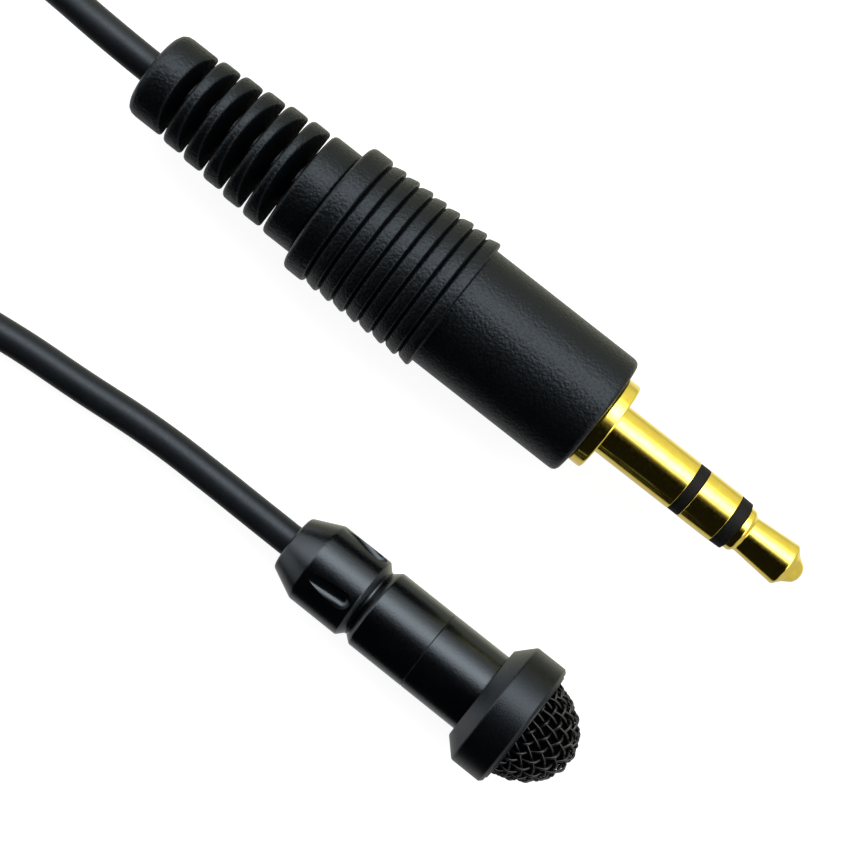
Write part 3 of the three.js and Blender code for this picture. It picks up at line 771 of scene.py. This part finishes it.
def add_foam():
    """The windscreen foam, a slightly lumpy dome just inside the wires."""
    margin = 4.6 * WIRE_RADIUS
    radius = DOME_RADIUS - margin
    height = DOME_HEIGHT - margin
    rear = DOME_SEAT - 0.07
    lump_height = 0.008
    steps = 30
    quarter = [math.pi / 2 * k / steps for k in range(steps + 1)]
    outline = [(rear, 0), (rear, radius)]
    outline += [(DOME_SEAT + height * math.sin(a), radius * math.cos(a)) for a in quarter]

    def lumpy(row, angle, along, radius):
        lump = math.sin(37 * angle + 2.3 * row) * math.sin(19 * angle - 1.7 * row)
        return along, radius * (1 + lump_height * lump)

    mesh = lathe_mesh("foam_insert", outline, MIC, 120, lumpy)
    foam = link("foam_insert", mesh, FOAM, "grille_slider", ["windscreen_foam"])


# ---------------------------------------------------------------- plug
def add_boot():
    """Discs round a core, with drafted slots between them, and a neck with a tongue into the cover."""
    end_rounding, disc_front_rounding, disc_rear_rounding = 0.75, 0.27, 0.36
    outline = [(BOOT_REAR, CORD_BORE), (BOOT_REAR, DISC_RADII[0], end_rounding)]
    for middle, radius, following in zip(GAP_CENTRES, DISC_RADII, DISC_RADII[1:] + [NECK_RADIUS]):
        rear = middle - SLOT_WIDTH / 2
        front = middle + SLOT_WIDTH / 2
        outline += [(rear, radius, disc_front_rounding), (rear, SLOT_CORE)]
        outline += [(front, SLOT_CORE), (front, following, disc_rear_rounding)]
    tongue_radius, tongue_front = 3.2, NECK_FRONT + 3
    outline += [
        (NECK_FRONT, NECK_RADIUS, 0.2), (NECK_FRONT, tongue_radius), (tongue_front, tongue_radius),
        (tongue_front, CORD_BORE),
    ]
    half_pitch = (GAP_CENTRES[1] - GAP_CENTRES[0]) / 2

    def drafted(_, angle, along, radius):
        """Slants the walls of each slot, from the core outwards."""
        offset = along - min(GAP_CENTRES, key=lambda centre: abs(centre - along))
        if abs(offset) > half_pitch or radius < SLOT_CORE + TOUCHING:
            return along, radius
        draft = SLOT_FRONT_DRAFT if offset > 0 else -SLOT_REAR_DRAFT
        return along + draft * abs(radius * math.cos(angle)), radius

    mesh = lathe_mesh("boot", filleted(outline), PLUG, 288, drafted)
    link("boot", mesh, MOULDED, "mic_body", ["strain_relief_boot"])


def add_cover():
    """Saw-toothed grip ribs with narrow grooves, then a smooth barrel."""
    ribs_front = GRIP_REAR + FIRST_RIB + RIBS * RIB_PITCH
    step = 0.17  # how much lower a rib starts than the last one ends
    groove_depth = 0.4
    groove_width = 0.22
    wall_top, wall_foot = -0.04, 0.03  # places of a groove's rear wall, from the end of its rib
    boot_socket, boot_socket_front = 3.25, COVER_FRONT - 1.25
    shank_hole = 2.14

    def crest(along):
        part = (along - GRIP_REAR) / (ribs_front - GRIP_REAR)
        return GRIP_REAR_RADIUS + (GRIP_FRONT_RADIUS - GRIP_REAR_RADIUS) * part

    outline = [(GRIP_REAR, boot_socket), (GRIP_REAR, crest(GRIP_REAR), 0.4)]
    rear = GRIP_REAR
    for i in range(RIBS + 1):
        front = rear + (RIB_PITCH if i else FIRST_RIB)
        if i:
            outline.append((rear + groove_width, crest(rear) - step, 0.14))
        outline.append((front + wall_top, crest(front), 0.24))
        if i < RIBS:
            outline.append((front + wall_foot, crest(front) - groove_depth, 0.02))
        rear = front
    outline += [
        (ribs_front, COVER_RADIUS, 0.05), (COVER_FRONT, COVER_RADIUS, 0.5), (COVER_FRONT, shank_hole, 0.1),
        (boot_socket_front, shank_hole), (boot_socket_front, boot_socket),
    ]
    turned("grip_cover", outline, PLUG, MOULDED, "mic_body", ["plug_cover"], 180)


def pin(distance):
    """Place along the plug of a point that far in front of the flange."""
    return FLANGE_FRONT + distance


def headed_tube(tail, bore, stem, rear, front, rear_edge, front_edge):
    """Outline of a tube with a wider head at its front. An edge is (radius, rounding)."""
    return [
        (tail, bore), (tail, stem), (rear, stem), (rear, *rear_edge), (front, *front_edge), (front, bore),
    ]


def sleeve_outline():
    """The flange and the long first contact, on a shank inside the cover."""
    flange_rear, shank_rear, shank_radius = 35.25, 29.0, 2.1
    return [
        (shank_rear, SLEEVE_BORE), (shank_rear, shank_radius), (flange_rear, shank_radius),
        (flange_rear, FLANGE_RADIUS, 0.16), (FLANGE_FRONT, FLANGE_RADIUS, 0.16),
        (FLANGE_FRONT, PIN_RADIUS, 0.12), (pin(SLEEVE_END), PIN_RADIUS, 0.06),
        (pin(SLEEVE_END), SLEEVE_BORE),
    ]


def tip_outline():
    """A small bead, the waist that a socket's spring snaps into, and the point."""
    rod_rear, rod_radius = 26.5, FRONT_BAND_BORE - PIN_GAP
    return [
        (rod_rear, 0), (rod_rear, rod_radius), (pin(TIP_REAR), rod_radius), (pin(TIP_REAR), 1.5, 0.1),
        (pin(10.36), 1.5, 0.12), (pin(10.6), 1.24, 0.1), (pin(13.73), 1.48, 0.12), (pin(14.12), 1.0, 0.15),
        (pin(14.7), 0.62, 0.12), (pin(14.88), 0.32, 0.12), (pin(14.88), 0),
    ]


def add_contacts():
    """The three contacts of the pin and the two bands that insulate them."""
    band_edge = (BAND_RADIUS, 0.03)
    ring_edge = (PIN_RADIUS, 0.06)
    rear_band = headed_tube(
        28.1, REAR_BAND_BORE, SLEEVE_BORE - PIN_GAP,
        pin(SLEEVE_END + PIN_GAP), pin(RING_REAR - PIN_GAP), band_edge, band_edge,
    )
    ring = headed_tube(
        27.7, RING_BORE, REAR_BAND_BORE - PIN_GAP, pin(RING_REAR), pin(RING_END), ring_edge, ring_edge
    )
    front_band = headed_tube(
        27.3, FRONT_BAND_BORE, RING_BORE - PIN_GAP,
        pin(RING_END + PIN_GAP), pin(TIP_REAR - PIN_GAP), band_edge, (1.70, 0.08),
    )
    pieces = [
        ("pin_sleeve", sleeve_outline(), GOLD, "gold_plate", "jack_sleeve"),
        ("pin_band_rear", rear_band, INSULATOR, "insulator_black", "ring_insulator"),
        ("pin_ring", ring, GOLD, "gold_plate", "jack_ring"),
        ("pin_band_front", front_band, INSULATOR, "insulator_black", "tip_insulator"),
        ("pin_tip", tip_outline(), GOLD, "gold_plate", "jack_tip"),
    ]
    for name, outline, material, slot, node in pieces:
        turned(name, outline, PLUG, material, "mic_body", [node])


# ---------------------------------------------------------------- inner CAD pieces
def finish_inner_nodes():
    """Gives the CAD pieces inside their real materials."""
    finishes = {
        "slip_washer": NYLON, "cable_bush": RUBBER, "crimp_ferrule": BRASS, "diaphragm": FILM,
        "spacer_ring": NYLON, "back_plate": BRASS, "back_plate_holder": NYLON, "capsule_board": BOARD,
        "capsule_transistor": INSULATOR, "capsule_can": SILVER, "capsule_felt": FELT,
        "capsule_gasket": RUBBER, "signal_wire": RED, "bias_wire": WHITE, "capsule_shield_wire": COPPER,
        "head_seal": RUBBER, "inner_mould": NYLON, "rear_washer": INSULATOR, "ring_terminal": BRASS,
        "tip_washer": INSULATOR, "tip_terminal": BRASS, "ground_terminal": BRASS, "tip_wire": RED,
        "ring_wire": WHITE, "ground_wire": COPPER,
    }
    for node, material in finishes.items():
        for slot in frame["nodes"][node].material_slots:
            slot.material = material


# ---------------------------------------------------------------- floor and light
FLOOR_REACH = 3.0
FLOOR_GLOW = 0.92

HIGH_END_LIGHT = 3.4  # brightness of the panels over the ends, on the +Y side
LOW_REAR_LIGHT = 1.5  # brightness near the floor off the rear ends
LOW_FRONT_LIGHT = 0.6  # brightness near the floor off the front ends
WARM = 0.8  # share of blue in the light from the warm side of the studio
# The panels beside the object: degrees from the zenith towards +Y, brightness, share of blue.
SIDE_PANELS = [
    (-180, 0.6, 1), (-126, 0.5, 1), (-117, 0.01, 1), (-12, 0.006, 1), (0, 0.08, 1), (10, 0.8, 1),
    (20, 4.2, 1), (31, 6.8, 1), (43, 5.4, 1), (56, 2.4, 1), (72, 1.0, WARM), (90, 0.85, WARM),
    (108, 0.75, WARM), (124, 0.55, WARM), (142, 0.95, WARM), (160, 0.95, WARM), (180, 0.6, WARM),
]
BRIGHTEST = max(level for _, level, _ in SIDE_PANELS)


def add_floor():
    """A white table that glows a little, so that shadows stay faint."""
    material, _, bsdf = shader("floor", (0.2, 0.2, 0.2), 0.8, specular=0.0)
    bsdf.inputs["Emission Color"].default_value = (1, 1, 1, 1)
    bsdf.inputs["Emission Strength"].default_value = FLOOR_GLOW
    signs = ((-1, -1), (1, -1), (1, 1), (-1, 1))
    mesh = bpy.data.meshes.new("floor")
    mesh.from_pydata([(x * FLOOR_REACH, y * FLOOR_REACH, 0) for x, y in signs], [], [(0, 1, 2, 3)])
    mesh.materials.append(material)
    floor = bpy.data.objects.new("floor", mesh)
    floor.visible_glossy = False
    bpy.context.scene.collection.objects.link(floor)


def mixed(tree, factor, one, two):
    node = tree.nodes.new("ShaderNodeMix")
    node.data_type = "RGBA"
    for name, source in (("Factor", factor), ("A", one), ("B", two)):
        tree.links.new(source, node.inputs[name])
    return node.outputs["Result"]


def side_panels(tree, direction):
    """Light by the angle round the X axis."""
    ramp = tree.nodes.new("ShaderNodeValToRGB")
    elements = ramp.color_ramp.elements
    while len(elements) < len(SIDE_PANELS):
        elements.new(0.5)
    for element, (angle, level, blue) in zip(elements, SIDE_PANELS):
        grey = level / BRIGHTEST
        element.position = (angle + 180) / 360
        element.color = (grey, grey, grey * blue, 1)
    around = calculate(tree, "ARCTAN2", direction["Y"], direction["Z"])
    tree.links.new(map_range(tree, around, (-math.pi, math.pi)), ramp.inputs["Fac"])
    return ramp.outputs["Color"]


def end_panels(tree, direction):
    """Light off the ends: dim near the floor, and above it a bright panel on the +Y side."""
    high = map_range(tree, direction["Y"], (-0.35, 0.0), (0, HIGH_END_LIGHT / BRIGHTEST))
    low_levels = (LOW_REAR_LIGHT / BRIGHTEST, LOW_FRONT_LIGHT / BRIGHTEST)
    low = map_range(tree, direction["X"], (-0.3, 0.3), low_levels)
    near_floor = map_range(tree, direction["Z"], (0.45, 0.2))
    return mixed(tree, near_floor, high, low)


def add_world():
    """A soft studio of light panels, with a plain white backdrop for the camera."""
    world = bpy.data.worlds.new("studio")
    bpy.context.scene.world = world
    world.use_nodes = True
    tree = world.node_tree
    coordinates = tree.nodes.new("ShaderNodeTexCoord")
    split = tree.nodes.new("ShaderNodeSeparateXYZ")
    tree.links.new(coordinates.outputs["Generated"], split.inputs["Vector"])
    direction = split.outputs
    endwise = map_range(tree, calculate(tree, "ABSOLUTE", direction["X"]), (0.55, 0.85))
    panels = mixed(tree, endwise, side_panels(tree, direction), end_panels(tree, direction))
    studio = tree.nodes["Background"]
    studio.inputs["Strength"].default_value = BRIGHTEST
    tree.links.new(panels, studio.inputs["Color"])
    backdrop = tree.nodes.new("ShaderNodeBackground")
    backdrop.inputs["Color"].default_value = (1, 1, 1, 1)
    path = tree.nodes.new("ShaderNodeLightPath")
    chosen = tree.nodes.new("ShaderNodeMixShader")
    tree.links.new(path.outputs["Is Camera Ray"], chosen.inputs["Fac"])
    tree.links.new(studio.outputs["Background"], chosen.inputs[1])
    tree.links.new(backdrop.outputs["Background"], chosen.inputs[2])
    tree.links.new(chosen.outputs["Shader"], tree.nodes["World Output"].inputs["Surface"])


# ---------------------------------------------------------------- assembly
add_rear_cap()
add_sleeves()
add_head()
add_boot()
add_cover()
add_contacts()
finish_inner_nodes()
tie = add_coil_tie()

add_floor()
add_world()
bpy.context.scene.view_settings.view_transform = "Standard"
